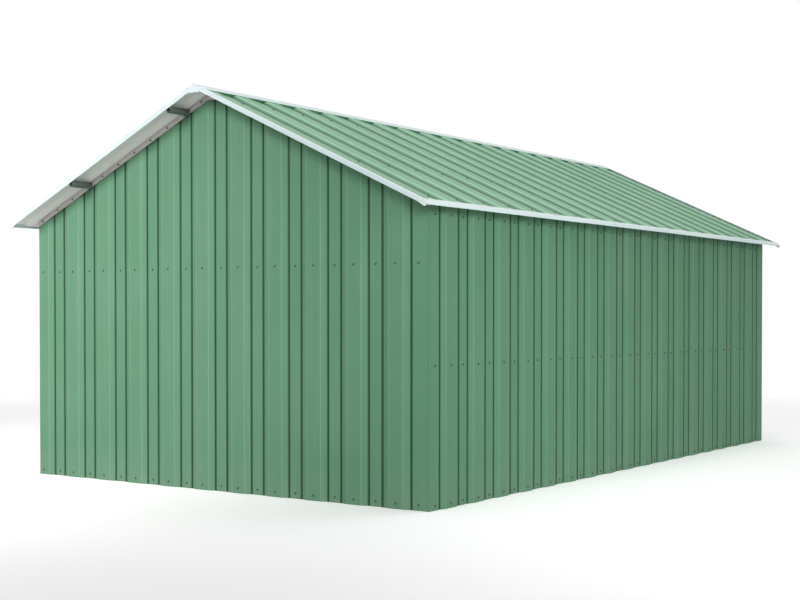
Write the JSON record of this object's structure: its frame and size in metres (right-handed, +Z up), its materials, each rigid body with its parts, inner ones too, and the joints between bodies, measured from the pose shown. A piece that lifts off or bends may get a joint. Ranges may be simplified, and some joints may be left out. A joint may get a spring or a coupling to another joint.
{
  "type": "metal garage",
  "caption": "Gable-roofed metal garage with no openings in its walls, a square-tube frame clad in trapezoidal steel sheet, with metal verge, eave and ridge trims.",
  "frame": {"origin": "centre of the whole garage in plan, on the ground it stands on", "axes": "+Z up, +Y along the ridge away from the front gable, +X across the building towards the long wall at the right of the front gable"},
  "size_m": [4.238, 6.932, 3.1082],
  "materials": {
    "wall_green": "satin",
    "roof_green": "satin",
    "frame_zinc": "satin",
    "trim_zinc": "satin",
    "trim_white": "satin"
  },
  "bodies": {
    "root": {"front_sill": "frame_zinc", "back_sill": "frame_zinc", "left_sill": "frame_zinc", "right_sill": "frame_zinc", "front_left_post": "frame_zinc", "front_right_post": "frame_zinc", "back_left_post": "frame_zinc", "back_right_post": "frame_zinc", "left_post_1": "frame_zinc", "left_post_2": "frame_zinc", "right_post_1": "frame_zinc", "right_post_2": "frame_zinc", "left_eave_rail": "frame_zinc", "right_eave_rail": "frame_zinc", "left_girt": "frame_zinc", "right_girt": "frame_zinc", "front_girt": "frame_zinc", "back_girt": "frame_zinc", "front_left_rafter": "frame_zinc", "front_right_rafter": "frame_zinc", "back_left_rafter": "frame_zinc", "back_right_rafter": "frame_zinc", "left_rafter_1": "frame_zinc", "left_rafter_2": "frame_zinc", "right_rafter_1": "frame_zinc", "right_rafter_2": "frame_zinc", "left_lower_purlin": "frame_zinc", "left_upper_purlin": "frame_zinc", "right_lower_purlin": "frame_zinc", "right_upper_purlin": "frame_zinc", "front_wall": "wall_green", "back_wall": "wall_green", "left_wall": "wall_green", "right_wall": "wall_green", "front_top_strip": "trim_zinc", "back_top_strip": "trim_zinc", "left_roof": "roof_green", "right_roof": "roof_green", "front_left_verge": "trim_white", "front_right_verge": "trim_white", "back_left_verge": "trim_white", "back_right_verge": "trim_white", "left_eave_trim": "trim_white", "right_eave_trim": "trim_white", "ridge_cap": "trim_white"}
  },
  "joints": []
}
